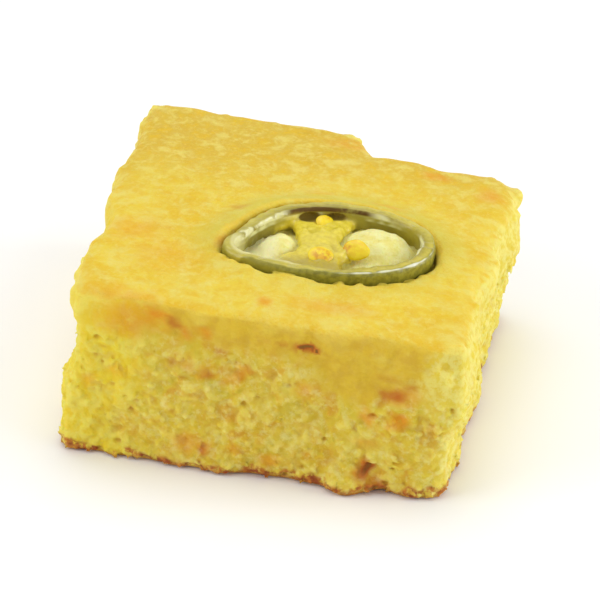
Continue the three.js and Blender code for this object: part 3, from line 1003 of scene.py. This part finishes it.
def rim_colour(p, n):
    """The ring from above: flesh, with the skin along its edge where no crumb clings to it, painted
    shade low on the skin and a painted highlight along its front shoulder.
    """
    flesh = p.coats(
        p.blend(n.patch, 0.35, 0.65, colour(208, 192, 66), colour(190, 176, 48)),
        (p.between(n.fleck, 0.45, 0.7), 0.5, colour(166, 152, 38)),
        (p.between(n.inwards, 1.0, 2.2), 0.7, colour(148, 134, 36)),
        (p.times(p.between(n.inwards, 1.3, 0.3), n.behind), 0.6, colour(218, 210, 110)),
        (n.left, 0.5, colour(188, 176, 70)),
    )
    skin = p.coats(
        p.blend(n.fleck, 0.35, 0.65, colour(160, 154, 50), colour(128, 124, 32)),
        (n.left, 0.6, colour(168, 158, 56)),
        # Painted shade: the skin darker towards its foot, where it meets the bread.
        (p.between(n.below, 1.2, 2.6), 0.5, colour(104, 104, 30)),
    )
    bare = p.inverse(p.times(n.behind, 0.8))
    rim = p.mix(p.times(p.between(n.inwards, 0.8, 0.3), bare), flesh, skin)
    # Painted highlight: a pale line along the outer shoulder of the rim at the front right.
    shine = p.times(p.between(n.inwards, 0.5, 0.3), p.between(n.below, 0.5, 0.25))
    shine = p.times(shine, p.times(p.between(n.along, -3, 2), n.before))
    return p.coats(rim, (shine, 0.8, colour(240, 242, 222)))


def wall_colour(p, n, shadow_line, ends):
    """The ring's inner side: dull green, darkened partly by painted shade of the hollow, with a
    painted shadow line under the rim, streaks of pith and pale ends.
    """
    pith = p.times(p.between(n.below, 1.0, 1.2), p.between(n.below, 2.0, 1.6))
    lining = p.times(p.between(n.below, 0.0, 0.25), p.between(n.below, 1.3, 0.9))
    lining = p.times(p.times(lining, ends), p.between(p.noise(2.4), 0.3, 0.5))
    return p.coats(
        # Partly painted shade: the inner wall is a duller, darker green than the rim's flesh, for
        # the shade of the hollow.
        p.blend(n.patch, 0.35, 0.65, colour(164, 152, 54), colour(140, 128, 42)),
        # Painted shadow under the rim.
        (shadow_line, 1.0, colour(98, 70, 24)),
        (p.times(pith, p.between(n.patch, 0.4, 0.6)), 1.0, colour(222, 220, 158)),
        (lining, 1.0, colour(232, 230, 176)),
    )


def web_colour(p, n):
    """The web across the ring: yellow, with painted shade in its creases, and browner towards the
    front.
    """
    return p.coats(
        p.blend(n.fleck, 0.35, 0.65, colour(234, 216, 74), colour(220, 200, 54)),
        # Painted shade in the web's creases.
        (p.between(p.read("relief"), -0.08, -0.3), 0.5, colour(196, 168, 40)),
        (p.between(n.across, -4.0, -7.5), 0.8, colour(168, 148, 42)),
    )


def pepper_material():
    p = Paint(
        "pepper",
        Subsurface_Weight=0.35,
        Subsurface_Radius=(0.9, 0.9, 0.2),
        Subsurface_Scale=1.0 * MM,
        Coat_Roughness=0.16,
        Specular_IOR_Level=0.35,
    )
    n = slice_patterns(p)
    ends = p.between(n.off_middle, 6.0, 9.0)
    # Painted shadow: a dark line on the inner wall just under the rim, away from its ends.
    shadow_line = p.times(p.between(n.below, 0.15, 0.35), p.between(n.below, 1.1, 0.8))
    shadow_line = p.times(shadow_line, p.times(p.inverse(ends), p.between(p.noise(3.0), 0.3, 0.45)))
    inside = p.times(p.between(n.inwards, 1.9, 2.3), p.between(n.below, -0.1, 0.3))
    base = p.mix(inside, rim_colour(p, n), wall_colour(p, n, shadow_line, ends))
    front_left = p.times(p.between(n.along, -5, -8), p.between(n.across, 0, -2))
    strip = p.times(p.between(n.inwards, 1.2, 1.7), front_left)
    base = p.coats(base, (strip, 0.6, colour(230, 224, 160)))
    middle = p.inverse(p.between(n.off_middle, 8.5, 10.0))
    base = p.mix(p.times(p.between(n.inwards, 2.5, 3.2), middle), base, web_colour(p, n))
    # Painted shade: the hollows between the web and the wall are painted darker, as they lie in
    # shadow.
    hollow = p.between(p.read("hollow"), 0.35, -0.1)
    base = p.coats(base, (hollow, 0.8, colour(146, 120, 46)))
    dry = p.combine("MAXIMUM", hollow, p.times(shadow_line, inside))
    p.put(p.shader.inputs["Coat Weight"], p.times(p.inverse(dry), 0.5))
    p.relief(p.noise(0.45), 0.06)
    moist = p.plus(0.25, p.times(n.fleck, 0.25))
    return p.finish(base, p.plus(moist, p.times(dry, 0.45)))


def seed_material():
    p = Paint(
        "pepper_seed",
        Subsurface_Weight=0.3,
        Subsurface_Radius=(0.9, 0.6, 0.1),
        Subsurface_Scale=0.8 * MM,
        Coat_Weight=0.25,
        Coat_Roughness=0.25,
    )
    fleck = p.noise(0.9, 2.0)
    yellow = p.blend(fleck, 0.35, 0.65, colour(242, 218, 18), colour(236, 202, 9))
    orange = p.blend(fleck, 0.42, 0.6, colour(226, 172, 4), colour(208, 146, 2))
    share = p.times(p.between(p.read("own"), 0.1, 0.8), p.between(p.noise(0.7), 0.35, 0.6))
    p.relief(p.noise(0.35), 0.03)
    return p.finish(p.mix(share, yellow, orange), p.plus(0.3, p.times(fleck, 0.2)))


def floor_material():
    p = Paint("floor", Roughness=0.9)
    return p.finish(p.mix(p.noise(60.0), colour(250, 250, 250), colour(252, 252, 252)))


# ---- The pieces --------------------------------------------------------------------------

pepper_field = field_of("pepper_slice", AROUND_PEPPER_PITCH, AROUND_PEPPER_BAND)

flesh = pepper_piece()
flesh.data.materials.append(pepper_material())
seeds = seeds_piece()
seeds.data.materials.append(seed_material())
bread = bread_piece()
bread.data.materials.append(bread_material())

for piece, node, slot in (
    (bread, "cornbread", "crumb"),
    (flesh, "pepper_slice", "pepper"),
    (seeds, "pepper_slice", "pepper"),
):
    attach(piece, "root")
    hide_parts(node)

# ---- Floor, light and camera, in metres --------------------------------------------------

FLOOR_HALF = 3.0
LAMPS = [  # name, place, size and power
    ("top", (-0.1, 0.15, 0.9), 0.7, 3.2),
    ("left", (-0.7, -0.4, 0.45), 0.5, 2.2),
    ("right", (0.95, 0.1, 0.3), 0.5, 4.0),
    ("glint", (0.5, -0.25, 0.76), 0.14, 0.35),
]
LIT_POINT = Vector((0, 0, 0.015))
SKY_STRENGTH = 0.55

CAMERA_TARGET = Vector((0, -0.00033, 0.014))
CAMERA_DISTANCE = 0.50538
CAMERA_AZIMUTH = math.radians(7.755)
CAMERA_ELEVATION = math.radians(29.87)
CAMERA_ROLL = math.radians(3.362)
CAMERA_LENS = 180
CAMERA_SENSOR = 36


def floor():
    half = FLOOR_HALF
    mesh = bpy.data.meshes.new("floor")
    corners = [(-half, -half, 0), (half, -half, 0), (half, half, 0), (-half, half, 0)]
    mesh.from_pydata(corners, [], [(0, 1, 2, 3)])
    plane = bpy.data.objects.new("floor", mesh)
    bpy.context.scene.collection.objects.link(plane)
    mesh.materials.append(floor_material())


def softbox(name, place, size, power):
    """A square area light that faces the middle of the bread."""
    light = bpy.data.lights.new(name, "AREA")
    light.size = size
    light.energy = power
    lamp = bpy.data.objects.new(name, light)
    lamp.location = place
    lamp.rotation_euler = (LIT_POINT - Vector(place)).to_track_quat("-Z", "Y").to_euler()
    bpy.context.scene.collection.objects.link(lamp)


def camera():
    """Stands where the picture was taken from, and leans by the same angle."""
    level = math.cos(CAMERA_ELEVATION)
    right, away = math.sin(CAMERA_AZIMUTH) * level, math.cos(CAMERA_AZIMUTH) * level
    back = Vector((right, -away, math.sin(CAMERA_ELEVATION)))
    roll = Matrix.Rotation(CAMERA_ROLL, 3, "Z").to_quaternion()
    data = bpy.data.cameras.new("camera")
    data.lens = CAMERA_LENS
    data.sensor_width = CAMERA_SENSOR
    cam = bpy.data.objects.new("camera", data)
    cam.rotation_euler = (back.to_track_quat("Z", "Y") @ roll).to_euler()
    cam.location = CAMERA_TARGET + back * CAMERA_DISTANCE
    bpy.context.scene.collection.objects.link(cam)
    bpy.context.scene.camera = cam


def world():
    made = bpy.data.worlds.new("studio")
    made.use_nodes = True
    background = made.node_tree.nodes["Background"]
    background.inputs["Color"].default_value = (1, 1, 1, 1)
    background.inputs["Strength"].default_value = SKY_STRENGTH
    bpy.context.scene.world = made
    bpy.context.scene.view_settings.view_transform = "Standard"


floor()
world()
for lamp in LAMPS:
    softbox(*lamp)
camera()
